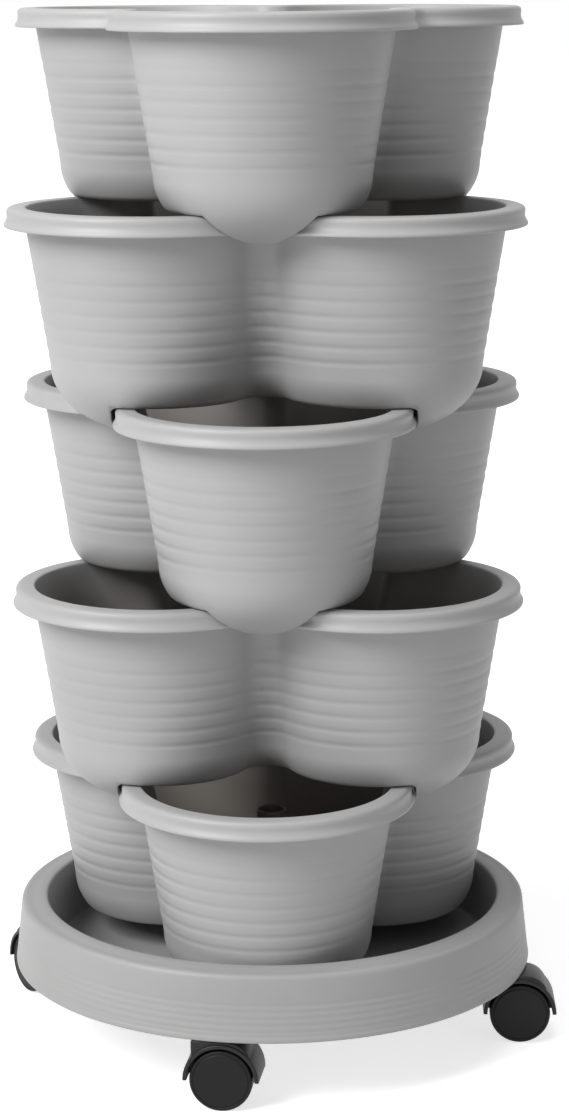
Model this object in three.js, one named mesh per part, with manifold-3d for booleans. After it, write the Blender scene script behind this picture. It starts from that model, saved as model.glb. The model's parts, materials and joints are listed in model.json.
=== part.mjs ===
// Vertical planter tower: five three-lobed pots stacked on a round tray with four swivel casters.
// Millimetres, +Z up. The origin is on the floor, on the tower's centre line.
// Each pot is turned 60 degrees from the one below, so its lobes hang out over the valleys of the
// pot below and hook round that pot's rim with a small foot.
import * as THREE from 'three';
import { mergeVertices } from 'three/addons/utils/BufferGeometryUtils.js';
import Module from 'manifold-3d';

const wasm = await Module();
wasm.setup();

// Counts
const tierCount = 5;
const lobeCount = 3;
const casterCount = 4;

// Clearances shared by the whole tower
const restGap = 0.3;
const hookClearance = 0.8;
const cutOverrun = 3;

// Pot
const potHeight = 121.2;
const rimWallRadius = 83.4;
const lobeOffsetShare = 0.97122;
const valleyFillet = 16;
const wall = 2.4;
const wallDraftDegrees = 9;
const bowlRise = 21.2;
const footDrop = 18.3;
const footLength = 2;

// Rim of a pot
const lipOverhang = 11.6;
const lipHeight = 12;
const lipWall = 2;
const lipFlat = 8.5;
const lipRound = 3.2;
const lipFlare = 1.6;

// Watering tube in the middle of a pot
const tubeBore = 16;
const tubeWall = 2;
const tubeDepthBelowRim = 44;

// Drain grid in the bottom of a pot
const gridThickness = 2.4;
const gridAboveBowl = 1;
const gridClearance = 1.6;
const gridLegRadius = 5;
const gridSlotWidth = 6;
const gridSlotLength = 26;
const gridSlotPitch = 26;

// Tray
const trayHeight = 44.3;
const trayFloorRecess = 1.2;
const trayFloorThickness = 2.5;
const trayWall = 2.5;
const trayRimWidth = 17.5;
const trayRimRound = 4;
const trayInnerClearance = 2.9;
const trayInnerDraft = 3.5;
const trayOuterFlare = 4.5;
const trayFootBead = 1.2;

// Caster
const wheelRadius = 20;
const wheelWidth = 11.5;
const wheelGap = 1;
const wheelTreadRound = 2.4;
const wheelFaceThickness = 2.5;
const wheelFaceDrop = 1;
const axleRadius = 3;
const axleClearance = 0.35;
const axleBarbRadius = 3.5;
const axleBarbHeight = 1.5;
const forkWidth = 7;
const hoodGap = 1.6;
const hoodWall = 2.6;
const casterTrail = 12;
const shoulderLength = 38;
const shoulderWidth = 29;
const shoulderRound = 15;
const rideGap = 2;
const stemRadius = 4;
const stemBarbRadius = 4.6;
const stemBarbHeight = 3;
const stemLength = 22;
const stemClearance = 0.35;
const socketWall = 2.6;
const socketInWall = 1.6;
const firstCasterDegrees = -103.6;
const casterTrailDegrees = [-6, 0, 180, 126];

// Facets
const lobeStationDegrees = [-90, -70, -50, -30, -15, 0, 15, 30, 50, 70, 90];
const filletSteps = 3;
const bowlSteps = 3;
const innerBowlSteps = 2;
const wheelSides = 20;
const roundSides = 16;
const smallSides = 10;
const hoodSegments = 8;
const traySides = 48;
const bridgeShare = 1.03;
const mergeDistance = 1e-4;

// Shared angles
const toRadians = (degrees) => (degrees * Math.PI) / 180;
const lobeTurn = (2 * Math.PI) / lobeCount;
const halfLobeTurn = lobeTurn / 2;
const tierTurn = Math.PI / lobeCount;
const draftSlope = Math.tan(toRadians(wallDraftDegrees));
const lobeOffset = rimWallRadius * lobeOffsetShare;

// Heights, from the floor up
const hoodRadius = wheelRadius + hoodGap + hoodWall;
const trayBottomZ = wheelRadius + hoodRadius + rideGap;
const trayFloorZ = trayBottomZ + trayFloorRecess + trayFloorThickness;
const firstRimZ = trayFloorZ + restGap + potHeight + footDrop;
const tierPitch = potHeight + restGap;
const rimZ = (tier) => firstRimZ + tier * tierPitch;

// Finishes
const potPlastic = { color: 0xa8a4a2, roughness: 0.5, metalness: 0 };
const gridPlastic = { color: 0x8f8a86, roughness: 0.6, metalness: 0 };
const casterPlastic = { color: 0x232324, roughness: 0.35, metalness: 0 };
const wheelPlastic = { color: 0x1b1b1d, roughness: 0.45, metalness: 0 };
const steel = { color: 0x9c9ea2, roughness: 0.3, metalness: 1 };

// Closed solids

function toSolid(geometry) {
  const bare = new THREE.BufferGeometry();
  bare.setAttribute('position', geometry.getAttribute('position').clone());
  if (geometry.index) bare.setIndex(geometry.index.clone());
  const merged = mergeVertices(bare, mergeDistance);
  const vertProperties = new Float32Array(merged.getAttribute('position').array);
  const triVerts = new Uint32Array(merged.index.array);
  return new wasm.Manifold(new wasm.Mesh({ numProp: 3, vertProperties, triVerts }));
}

function toGeometry(solid) {
  const mesh = solid.getMesh();
  const geometry = new THREE.BufferGeometry();
  const stride = mesh.numProp;
  const points = new Float32Array((mesh.vertProperties.length / stride) * 3);
  for (let i = 0; i < points.length / 3; i += 1) {
    for (let axis = 0; axis < 3; axis += 1) {
      points[3 * i + axis] = mesh.vertProperties[stride * i + axis];
    }
  }
  geometry.setAttribute('position', new THREE.BufferAttribute(points, 3));
  geometry.setIndex(new THREE.BufferAttribute(new Uint32Array(mesh.triVerts), 1));
  return geometry;
}

// A solid skinned over rings that all have as many points, from the lowest ring to the highest,
// each ring running anticlockwise seen from above. A ring is a list of Vector3.
function loftSolid(rings) {
  const count = rings[0].length;
  const points = rings.flat();
  const faces = [];
  for (let level = 0; level + 1 < rings.length; level += 1) {
    for (let i = 0; i < count; i += 1) {
      const a = level * count + i;
      const b = level * count + ((i + 1) % count);
      faces.push(a, b, b + count, a, b + count, a + count);
    }
  }
  const contour = rings[0].map((point) => new THREE.Vector2(point.x, point.y));
  const cap = THREE.ShapeUtils.triangulateShape(contour, []);
  const top = (rings.length - 1) * count;
  const lastContour = rings[rings.length - 1].map((point) => new THREE.Vector2(point.x, point.y));
  const lastCap = THREE.ShapeUtils.triangulateShape(lastContour, []);
  cap.forEach(([a, b, c]) => faces.push(a, c, b));
  lastCap.forEach(([a, b, c]) => faces.push(top + a, top + b, top + c));
  const geometry = new THREE.BufferGeometry().setFromPoints(points);
  geometry.setIndex(faces);
  return toSolid(geometry);
}

// A turned solid about the Z axis. The profile is a list of [radius, z], anticlockwise seen with
// the axis on the left.
function turnedSolid(profile, sides) {
  const points = profile.map(([radius, z]) => new THREE.Vector2(radius, z));
  const lathe = new THREE.LatheGeometry(points, sides);
  lathe.rotateX(Math.PI / 2);
  return toSolid(lathe);
}

function cylinderSolid(radius, bottom, top, sides = roundSides) {
  const cylinder = new THREE.CylinderGeometry(radius, radius, top - bottom, sides);
  cylinder.rotateX(Math.PI / 2);
  cylinder.translate(0, 0, (bottom + top) / 2);
  return toSolid(cylinder);
}

function boxSolid(lengthX, lengthY, bottom, top) {
  const box = new THREE.BoxGeometry(lengthX, lengthY, top - bottom);
  box.translate(0, 0, (bottom + top) / 2);
  return toSolid(box);
}

function meshOf(name, solid, finish) {
  const mesh = new THREE.Mesh(toGeometry(solid), new THREE.MeshStandardMaterial(finish));
  mesh.name = name;
  return mesh;
}

// The hollow fillet between two neighbouring lobes of the given radius: its own radius, the distance
// of its centre from the tower's axis
function valleyFilletOf(radius) {
  const acrossValley = lobeOffset * Math.sin(halfLobeTurn);
  const fillet = Math.max(valleyFillet, acrossValley * bridgeShare - radius);
  const alongValley = Math.sqrt((radius + fillet) ** 2 - acrossValley ** 2);
  const centre = lobeOffset * Math.cos(halfLobeTurn) + alongValley;
  return { fillet, centre };
}

// Three-lobed outline: three arcs of the given radius about centres at lobeOffset, joined by hollow
// fillets. Lobe 0 points along -Y. An inset outline keeps the fillet centres and widens the fillets.
function lobeOutline(radius, inset = 0) {
  const { fillet, centre } = valleyFilletOf(radius);
  const centreX = centre * Math.cos(halfLobeTurn);
  const centreY = centre * Math.sin(halfLobeTurn);
  const tangent = Math.atan2(centreY, centreX - lobeOffset);
  const arcRadius = radius - inset;
  const hollowRadius = fillet + inset;
  const arcAngles = [-tangent, ...lobeStationDegrees.map(toRadians), tangent];
  const hollowStart = tangent + Math.PI;
  const hollowSweep = 2 * (halfLobeTurn - tangent);
  const outline = [];
  const axisPoint = new THREE.Vector2(0, 0);
  for (let lobe = 0; lobe < lobeCount; lobe += 1) {
    const lobeAxis = lobe * lobeTurn - Math.PI / 2;
    for (const angle of arcAngles) {
      const x = lobeOffset + arcRadius * Math.cos(angle);
      const y = arcRadius * Math.sin(angle);
      outline.push(new THREE.Vector2(x, y).rotateAround(axisPoint, lobeAxis));
    }
    for (let step = 1; step < filletSteps; step += 1) {
      const angle = hollowStart + (hollowSweep * step) / filletSteps;
      const x = centreX + hollowRadius * Math.cos(angle);
      const y = centreY + hollowRadius * Math.sin(angle);
      outline.push(new THREE.Vector2(x, y).rotateAround(axisPoint, lobeAxis));
    }
  }
  return outline;
}

function ring(radius, z, inset = 0) {
  return lobeOutline(radius, inset).map((point) => new THREE.Vector3(point.x, point.y, z));
}

// Outer radius of a lobe at a depth below the rim, above the rounded bowl
const wallRadius = (depth) => rimWallRadius - draftSlope * depth;
const bowlStartDepth = potHeight - bowlRise;
const bowlRadius = wallRadius(bowlStartDepth);
const lipRadius = rimWallRadius + lipOverhang;

// The bowl is an ellipse in section. At the foot's level it still reaches out past the rim of the
// pot below, so that a foot of the stated length is left there.
const lipValley = valleyFilletOf(lipRadius).centre - valleyFilletOf(lipRadius).fillet;
const footRadius = lipValley + hookClearance + footLength - lobeOffset;
const footAngle = Math.acos(footRadius / bowlRadius);
const bowlDepth = (bowlRise + footDrop) / Math.sin(footAngle);

// Rings of the bowl, from its lowest level up to where the straight wall starts
function bowlRings(lowestDepth, steps, inset = 0) {
  const lowestAngle = Math.asin((lowestDepth - bowlStartDepth) / bowlDepth);
  const rings = [];
  for (let step = steps; step >= 0; step -= 1) {
    const angle = (lowestAngle * step) / steps;
    const depth = bowlStartDepth + bowlDepth * Math.sin(angle);
    rings.push(ring(bowlRadius * Math.cos(angle), -depth, inset));
  }
  return rings;
}

// What the pot below needs clear: its rim outline, which is turned by one tier, up to a height
function rimBelowSolid(clearance, top) {
  const bottom = -(potHeight + footDrop + cutOverrun);
  const outline = lobeOutline(lipRadius + clearance);
  const turned = outline.map((point) => point.clone().rotateAround(new THREE.Vector2(0, 0), tierTurn));
  const rings = [bottom, top].map((z) => turned.map((point) => new THREE.Vector3(point.x, point.y, z)));
  return loftSolid(rings);
}

// A pot, with its rim top at z = 0 and lobe 0 along -Y
function potSolid() {
  const lowestOuter = potHeight + footDrop;
  const lipTopRadius = wallRadius(0) - wall + lipFlat;
  const outer = loftSolid([
    ...bowlRings(lowestOuter, bowlSteps),
    ring(wallRadius(lipWall), -lipWall),
    ring(lipRadius - lipFlare - lipWall, -lipWall),
    ring(lipRadius - lipWall, -lipHeight),
    ring(lipRadius, -lipHeight),
    ring(lipRadius - lipFlare, -lipRound),
    ring(lipTopRadius, 0),
  ]);
  const inner = loftSolid([
    ...bowlRings(lowestOuter - wall, innerBowlSteps, wall),
    ring(wallRadius(-cutOverrun), cutOverrun, wall),
  ]);
  const pocket = inner.subtract(rimBelowSolid(hookClearance + wall, wall - potHeight));
  const tubeOuter = tubeBore / 2 + tubeWall;
  const tube = cylinderSolid(tubeOuter, -potHeight, -tubeDepthBelowRim);
  const bore = cylinderSolid(tubeBore / 2, -potHeight - cutOverrun, cutOverrun - tubeDepthBelowRim);
  const shell = outer.subtract(rimBelowSolid(hookClearance, -potHeight)).subtract(pocket);
  return shell.add(tube).subtract(bore);
}

// A drain grid, standing on its legs on z = 0, with lobe 0 along -Y
function drainGridSolid() {
  const plateBottom = bowlRise + gridAboveBowl - wall - restGap;
  const top = plateBottom + gridThickness;
  const radiusThere = wallRadius(bowlStartDepth - gridAboveBowl);
  const inset = wall + gridClearance;
  let grid = loftSolid([ring(radiusThere, plateBottom, inset), ring(radiusThere, top, inset)]);
  const holeRadius = tubeBore / 2 + tubeWall + gridClearance;
  grid = grid.subtract(cylinderSolid(holeRadius, -cutOverrun, top + cutOverrun));
  const slot = boxSolid(gridSlotLength, gridSlotWidth, -cutOverrun, top + cutOverrun);
  const slotReach = gridLegRadius + gridSlotWidth + gridSlotLength / 2;
  for (let lobe = 0; lobe < lobeCount; lobe += 1) {
    const axis = (lobe * lobeTurn * 180) / Math.PI - 90;
    const leg = cylinderSolid(gridLegRadius, 0, top, smallSides);
    grid = grid.add(leg.translate([lobeOffset, 0, 0]).rotate([0, 0, axis]));
    for (const across of [-0.5, 0.5]) {
      for (const side of [-1, 1]) {
        const place = [lobeOffset + side * slotReach, across * gridSlotPitch, 0];
        grid = grid.subtract(slot.translate(place).rotate([0, 0, axis]));
      }
    }
  }
  return grid;
}

// Tray: a floor inside a hollow rim whose outer wall flares down to the widest edge
const potRadiusAtTrayTop = lobeOffset + wallRadius(firstRimZ - trayBottomZ - trayHeight);
const trayInnerTop = potRadiusAtTrayTop + trayInnerClearance;
const trayInnerBottom = trayInnerTop - trayInnerDraft;
const trayOuterTop = trayInnerTop + trayRimWidth;
const trayOuterBottom = trayOuterTop + trayOuterFlare;

// Stem sockets stand in the rim's hollow, each one sunk a little into the inner wall
const socketOuter = stemBarbRadius + stemClearance + socketWall;
const socketTop = trayBottomZ + stemLength;
const trayTopZ = trayBottomZ + trayHeight;
const climbShare = (socketTop - trayBottomZ) / (trayHeight - trayRimRound);
const innerAtSocket = trayInnerBottom + (trayInnerTop - trayInnerBottom) * climbShare;
const stemCircle = innerAtSocket + trayWall - socketInWall + socketOuter;

function casterAngle(index) {
  return toRadians(firstCasterDegrees) + (index * 2 * Math.PI) / casterCount;
}

function traySolid() {
  const floorBottom = trayFloorZ - trayFloorThickness;
  const rimShoulder = trayTopZ - trayRimRound;
  const profile = [
    [0, floorBottom],
    [trayInnerBottom + trayWall, floorBottom],
    [trayInnerTop + trayWall, rimShoulder],
    [trayOuterTop - trayWall, rimShoulder],
    [trayOuterBottom - trayWall, trayBottomZ],
    [trayOuterBottom, trayBottomZ],
    [trayOuterBottom, trayBottomZ + trayFootBead],
    [trayOuterTop, rimShoulder],
    [trayOuterTop - trayRimRound / 2, trayTopZ],
    [trayInnerTop + trayRimRound / 2, trayTopZ],
    [trayInnerTop, trayTopZ - trayRimRound / 2],
    [trayInnerBottom, trayFloorZ],
    [0, trayFloorZ],
  ];
  const rimEnvelope = [
    [trayInnerBottom, trayBottomZ],
    [trayOuterBottom, trayBottomZ],
    [trayOuterBottom, trayBottomZ + trayFootBead],
    [trayOuterTop, rimShoulder],
    [trayInnerTop, rimShoulder],
    [trayInnerBottom, trayFloorZ],
    [trayInnerBottom, trayBottomZ],
  ];
  const envelope = turnedSolid(rimEnvelope, traySides);
  let tray = turnedSolid(profile, traySides);
  for (let index = 0; index < casterCount; index += 1) {
    const x = stemCircle * Math.cos(casterAngle(index));
    const y = stemCircle * Math.sin(casterAngle(index));
    const boss = cylinderSolid(socketOuter, trayBottomZ, trayTopZ).translate([x, y, 0]);
    const bore = cylinderSolid(stemRadius + stemClearance, trayBottomZ - cutOverrun, socketTop);
    const seat = cylinderSolid(stemBarbRadius + stemClearance, socketTop - 2 * stemBarbHeight, socketTop);
    tray = tray.add(boss.intersect(envelope));
    tray = tray.subtract(bore.translate([x, y, 0])).subtract(seat.translate([x, y, 0]));
  }
  return tray;
}

// Caster: its swivel axis is the Z axis and its axle lies along Y at a trail's distance in X
const hoodInnerRadius = wheelRadius + hoodGap;
const nearStem = casterTrail - stemRadius - stemClearance;
const stemFloor = wheelRadius + Math.sqrt(hoodInnerRadius ** 2 - nearStem ** 2);

function hoodSolid() {
  const width = forkWidth + 2 * (wheelGap + wheelWidth);
  const shellMiddle = hoodRadius - hoodWall / 2;
  const outerShell = new THREE.Shape();
  outerShell.absarc(0, 0, hoodRadius, 0, Math.PI, false);
  outerShell.absarc(0, 0, hoodInnerRadius, Math.PI, 0, true);
  const web = new THREE.Shape();
  web.absarc(0, 0, shellMiddle, 0, Math.PI, false);
  web.absarc(0, 0, 2 * axleRadius + axleClearance, Math.PI, 2 * Math.PI, false);
  const extruded = (shape, depth) => {
    const settings = { depth, bevelEnabled: false, curveSegments: hoodSegments };
    const geometry = new THREE.ExtrudeGeometry(shape, settings);
    geometry.translate(0, 0, -depth / 2);
    geometry.rotateX(Math.PI / 2);
    geometry.translate(casterTrail, 0, wheelRadius);
    return toSolid(geometry);
  };
  const axleBore = cylinderSolid(axleRadius + axleClearance, -width, width, smallSides);
  const shoulderTop = trayBottomZ - restGap;
  const side = shoulderLength / 2;
  const rise = shoulderTop - wheelRadius;
  const block = new THREE.Shape();
  block.moveTo(-side, 0);
  block.lineTo(side, 0);
  block.absarc(side - shoulderRound, rise - shoulderRound, shoulderRound, 0, Math.PI / 2, false);
  block.lineTo(-side, rise);
  const wheelRoom = cylinderSolid(shellMiddle, -width, width, hoodSegments);
  const room = wheelRoom.rotate([90, 0, 0]).translate([casterTrail, 0, wheelRadius]);
  const shoulder = extruded(block, shoulderWidth).subtract(room);
  const stemBore = cylinderSolid(stemRadius + stemClearance, stemFloor, shoulderTop + cutOverrun);
  let hood = extruded(outerShell, width).add(shoulder);
  hood = hood.add(extruded(web, forkWidth));
  hood = hood.subtract(axleBore.rotate([90, 0, 0]).translate([casterTrail, 0, wheelRadius]));
  return hood.subtract(stemBore);
}

// A pin along Z whose end has a barb, which snaps into a wider seat of the same height
function barbedTip(radius, barbRadius, barbHeight, tip) {
  return [
    [radius, tip - 2 * barbHeight + restGap],
    [barbRadius, tip - barbHeight],
    [radius, tip],
    [0, tip],
  ];
}

function stemSolid() {
  const bottom = stemFloor + restGap;
  const tip = barbedTip(stemRadius, stemBarbRadius, stemBarbHeight, socketTop - restGap);
  return turnedSolid([[0, bottom], [stemRadius, bottom], ...tip], roundSides);
}

// A wheel with a closed outer face, which looks up, and a seat for the axle's barb behind it
function wheelSolid() {
  const half = wheelWidth / 2;
  const bore = axleRadius + axleClearance;
  const seat = axleBarbRadius + axleClearance;
  const seatTop = half - wheelFaceThickness;
  const profile = [
    [bore, -half],
    [wheelRadius - wheelTreadRound, -half],
    [wheelRadius, -half + wheelTreadRound],
    [wheelRadius, half - wheelTreadRound],
    [wheelRadius - wheelTreadRound, half - wheelFaceDrop],
    [0, half],
    [0, seatTop],
    [seat, seatTop],
    [seat, seatTop - 2 * axleBarbHeight],
    [bore, seatTop - 2 * axleBarbHeight],
    [bore, -half],
  ];
  return turnedSolid(profile, wheelSides);
}

function axleSolid() {
  const half = forkWidth / 2 + wheelGap + wheelWidth - wheelFaceThickness - restGap;
  const tip = barbedTip(axleRadius, axleBarbRadius, axleBarbHeight, half);
  const mirrored = tip.map(([radius, z]) => [radius, -z]).reverse();
  return turnedSolid([...mirrored, ...tip], smallSides);
}

// One caster. Its housing, stem and axle swivel together, and each wheel turns on the axle.
function caster(index) {
  const group = new THREE.Group();
  group.position.set(stemCircle, 0, 0).applyAxisAngle(new THREE.Vector3(0, 0, 1), casterAngle(index));
  group.rotation.z = toRadians(casterTrailDegrees[index]);
  const number = index + 1;
  group.add(meshOf(`caster_${number}_housing`, hoodSolid(), casterPlastic));
  group.add(meshOf(`caster_${number}_stem`, stemSolid(), steel));
  const axle = meshOf(`caster_${number}_axle`, axleSolid(), steel);
  axle.position.set(casterTrail, 0, wheelRadius);
  axle.rotation.x = Math.PI / 2;
  group.add(axle);
  for (const end of [-1, 1]) {
    const wheel = meshOf(`caster_${number}_wheel_${end < 0 ? 'a' : 'b'}`, wheelSolid(), wheelPlastic);
    wheel.position.set(casterTrail, end * (forkWidth / 2 + wheelGap + wheelWidth / 2), wheelRadius);
    wheel.rotation.x = (-end * Math.PI) / 2;
    group.add(wheel);
  }
  return group;
}

// One tier: a pot and its drain grid. Odd tiers are turned so that their lobes alternate.
function tierGroup(tier) {
  const group = new THREE.Group();
  const number = tier + 1;
  group.position.z = rimZ(tier);
  group.rotation.z = tier % 2 === 0 ? 0 : tierTurn;
  group.add(meshOf(`pot_${number}`, potSolid(), potPlastic));
  const grid = meshOf(`drain_grid_${number}`, drainGridSolid(), gridPlastic);
  grid.position.z = wall + restGap - potHeight;
  group.add(grid);
  return group;
}

const tower = new THREE.Group();
tower.add(meshOf('rolling_tray', traySolid(), potPlastic));
for (let index = 0; index < casterCount; index += 1) tower.add(caster(index));
for (let tier = 0; tier < tierCount; tier += 1) tower.add(tierGroup(tier));

export default tower;
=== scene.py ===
"""Looks of a vertical planter tower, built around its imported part.

Five three-lobed pots in grey plastic hang over one another on a round tray that rolls on four
black twin-wheel casters. Pieces are modelled in millimetres and turned to metres when finished.
"""

import json
import math

import bmesh
import bpy
from mathutils import Matrix, Vector


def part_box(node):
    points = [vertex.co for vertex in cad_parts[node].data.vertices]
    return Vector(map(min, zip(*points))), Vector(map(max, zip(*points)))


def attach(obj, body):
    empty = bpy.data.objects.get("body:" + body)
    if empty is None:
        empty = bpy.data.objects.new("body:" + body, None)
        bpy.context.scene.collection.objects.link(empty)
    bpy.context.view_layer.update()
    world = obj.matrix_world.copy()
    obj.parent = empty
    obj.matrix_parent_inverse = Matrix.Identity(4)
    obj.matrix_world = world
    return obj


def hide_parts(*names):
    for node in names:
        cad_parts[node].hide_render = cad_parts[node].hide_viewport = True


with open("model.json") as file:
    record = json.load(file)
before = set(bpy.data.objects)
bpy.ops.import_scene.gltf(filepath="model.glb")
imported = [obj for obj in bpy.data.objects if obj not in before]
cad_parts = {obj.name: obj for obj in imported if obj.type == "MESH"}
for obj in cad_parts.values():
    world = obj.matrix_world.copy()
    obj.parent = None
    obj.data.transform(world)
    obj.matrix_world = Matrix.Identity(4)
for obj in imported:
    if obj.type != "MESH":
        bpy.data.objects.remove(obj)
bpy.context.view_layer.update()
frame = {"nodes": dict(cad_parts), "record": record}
bpy.ops.object.select_all(action="DESELECT")

METRES_PER_MM = 0.001
MERGE_DISTANCE = 0.004

# Points from the start to the end of a rounded corner
ROUNDING_STEPS = 4

# A cutter is this many times as long as what it goes through
CUT_THROUGH = 4

# Edges that turn by more than this, in degrees, stay sharp in the shading
SMOOTH_ANGLE = 38.0
GRID_SMOOTH_ANGLE = 30.0
BEVEL_ANGLE = 30.0

# Counts
TIERS = 5
LOBES = 3
CASTERS = 4

# Pot
POT_HEIGHT = 121.2
LOBE_OFFSET = 81.0
RIM_WALL_RADIUS = 83.4
VALLEY_FILLET = 16.0
BRIDGE_SHARE = 1.03
WALL = 2.4
WALL_SLOPE = math.tan(math.radians(9.0))
BOWL_RISE = 21.2
BOWL_DEPTH = 44.98
FLOOR_EDGE_ROUND = 3.6
FLOOR_RING_INSET = 4.0
INNER_FLOOR_RING_INSET = 5.0
FLOOR_RING_SHARES = (0.4, 0.75)
INNER_BOWL_SHARES = (0.8, 0.6, 0.4, 0.2, 0)
INNER_CORNER_START = 0.75
INNER_CORNER_END = 0.25
INNER_WALL_DEPTHS = (80, 55, 30)
INNER_RIM_DEPTH = 9

# Foot of a pot, which hooks over the rim of the pot below
FOOT_DROP = 18.3
FOOT_TIP_BLEND = 1.0
FOOT_EDGE_ROUND = 1.7
FOOT_ROUND_ENDS = 5.0
HOOK_CLEARANCE = 0.8
REST_GAP = 0.3

# Rim of a pot and its skirt
LIP_RADIUS = 95.0
LIP_HEIGHT = 12.0
LIP_WALL = 2.0
LIP_ROUND = 0.75
SKIRT_RADIUS = 93.85
SKIRT_WAIST = 1.2
WAIST_DEPTH = 6.9
WAIST_ROUND = 2.5
FLARE_DEPTH = 10.4
RIM_THICKNESS = 2.1
RIM_INNER_ROUND = 1.3
RIM_OUTER_ROUND = 4.0
SKIRT_ROOT_ROUND = 2.4
WALL_ROOT_ROUND = 1.5
OUTER_WALL_DEPTHS = (12, 26)

# Tube in the middle of a pot
TUBE_BORE_RADIUS = 8.0
TUBE_RADIUS = 10.0
TUBE_DEPTH = 44.0
TUBE_EDGE_ROUND = 0.9
TUBE_ROOT_ROUND = 2.0

# Painted shade inside a pot: a darker, warmer colour that gets stronger from the rim down
SHADE_START = 3.0
SHADE_DEPTH = 40.0

# Moulded grooves round a pot
GROOVE_COUNT = 7
FIRST_GROOVE_DEPTH = 33.9
GROOVE_PITCH = 9.65
GROOVE_HALF_WIDTH = 3.1
GROOVE_CUT = 0.36
GROOVE_PROFILE = (-1, -0.7, -0.45, -0.2, 0, 0.2, 0.45, 0.7, 1)
TOP_GROOVE_SHARE = 0.45

# Points round a lobe and a valley, and along the bowl
ARC_STEPS = 72
VALLEY_STEPS = 10
STATIONS = LOBES * (ARC_STEPS + VALLEY_STEPS)
BOWL_STEPS = 11
EDGE_STEPS = 8
EDGE_HANDLE_SHARE = 0.66
STEEPEST_BOWL_ANGLE = math.radians(86)
EDGE_SEARCH_STEPS = 30

# Drain grid
GRID_BOTTOM = 19.5
GRID_THICKNESS = 2.4
GRID_INSET = 4.0
GRID_OUTLINE_RISE = 1
GRID_EDGE_ROUND = 0.9
GRID_LEG_RADIUS = 5.0
GRID_LEG_ROUND = 0.7
GRID_LEG_STEPS = 32
GRID_HOLE_RADIUS = 11.6
GRID_HOLE_STEPS = 64
GRID_SLOT_STEPS = 24

# Slots on one quarter of a lobe: how far along and across it their middles are, length and width
GRID_SLOTS = [(24, 13, 26, 6), (0, 27, 24, 6), (26, 0, 18, 6), (0, 42, 20, 5)]
GRID_HOLES_ALONG = (27, 38)
GRID_HOLES_ACROSS = (-16, 0, 16)
GRID_HOLE_WIDTH = 7

# Tray
TRAY_INNER_TOP = 151.59
TRAY_INNER_BOTTOM = 148.09
TRAY_OUTER_TOP = 169.09
TRAY_OUTER_BOTTOM = 173.59
TRAY_BOTTOM = 46.2
TRAY_FLOOR = 49.9
TRAY_TOP = 90.5
TRAY_WALL = 2.5
TRAY_FLOOR_THICKNESS = 2.5
TRAY_RIM_THICKNESS = 3.2
TRAY_RIM_STEP = 1.2
TRAY_RIM_ROUND = 3.9
TRAY_SHOULDER = 4.0
TRAY_FLAT_WIDTH = 5.5
TRAY_TOP_ROUND = 2.4
TRAY_INNER_ROUND = 2.2
TRAY_ROOT_ROUND = 3.2
TRAY_HOLLOW_ROUND = 2.4
TRAY_BEAD_HEIGHT = 2.6
TRAY_BEAD_ROUND = 1.2
TRAY_EDGE_ROUND = 0.6
TRAY_WALL_START = 4.1
TRAY_WALL_END = 6.0
TRAY_STEP_WIDTH = 7.0
TRAY_RIBS = 5
FIRST_TRAY_RIB = 7.0
TRAY_RIB_PITCH = 4.2
TRAY_RIB_HALF_WIDTH = 1.6
TRAY_RIB_CUT = 0.30
TRAY_RIB_PROFILE = (-1, -0.5, 0, 0.5, 1)
TRAY_STEPS = 192
SOCKET_STEPS = 40
SOCKET_RADIUS = 7.55
SOCKET_BORE = 4.35
SOCKET_TOP = 68.2
SOCKET_ROOF = 2.6
SOCKET_SEAT_RADIUS = 4.95
SOCKET_SEAT_HEIGHT = 6.0

# Caster
WHEEL_RADIUS = 20.0
WHEEL_STEPS = 96
WHEEL_WIDTH = 11.5
WHEEL_GAP = 1.0
WHEEL_INNER_ROUND = 2.6
WHEEL_OUTER_ROUND = 1.8
WHEEL_FACE = 2.5
FACE_DROP = 0.8
FACE_CROWN = 0.65
FACE_CROWN_SHARES = (0.8, 0.6, 0.4, 0.2, 0)
FACE_GROOVE_RADIUS = 17.6
FACE_GROOVE_HALF_WIDTH = 0.6
FACE_GROOVE_CUT = 0.5
FACE_GROOVE_ROUND = 0.3
FORK_WIDTH = 7.0
HOOD_INNER_RADIUS = 21.6
HOOD_RADIUS = 24.2
HOOD_STEPS = 64
HOOD_EDGE_ROUND = 1.3
HOOD_INNER_EDGE_ROUND = 0.5
SHOULDER_LENGTH = 38.0
SHOULDER_WIDTH = 29.0
SHOULDER_ROUND = 15.0
SHOULDER_ROUND_STEPS = 10
SHOULDER_EDGE_ROUND = 1.4
SHOULDER_EDGE_STEPS = 4
SHOULDER_TOP = 45.9
AXLE_BORE = 3.35
AXLE_SEAT_RADIUS = 3.85
AXLE_SEAT_DEPTH = 3.0
STEM_BORE = 4.35
STEM_FLOOR = 40.4
BORE_STEPS = 96

# Finishes: where noise turns from the one tone to the other, its scales, and how roughness drifts
TONE_RANGE = (0.35, 0.65)
TONE_SCALE = 9.0
SHEEN_SCALE = 34.0
SHEEN_DRIFT = (-0.05, 0.06)
STEEL_TONE_SCALE = 60.0
STEEL_ROUGHNESS = (0.24, 0.42)

# Camera, as fitted to the outlines in the photograph
FOCAL_PIXELS = 2784
PHOTO_HEIGHT_PIXELS = 1119
SENSOR_HEIGHT = 36.0
CAMERA_PLACE = (0.0667, -1.8008, 0.7008)
CAMERA_HEADING = 1.82
CAMERA_TILT = 77.98
CAMERA_ROLL = -0.30
CAMERA_REACH = 50.0

# Studio: metres, and strengths of light where 1 is white
WHITE = (1, 1, 1, 1)
FLOOR_SIZE = 40.0
FLOOR_TONE = 0.86
FLOOR_ROUGHNESS = 0.9
FLOOR_GLOW = (0.70, 1.0)
FLOOR_GLOW_DISTANCES = (0.3, 2.0)
ROOM_LIGHT = 0.17


# Modelling

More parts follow.
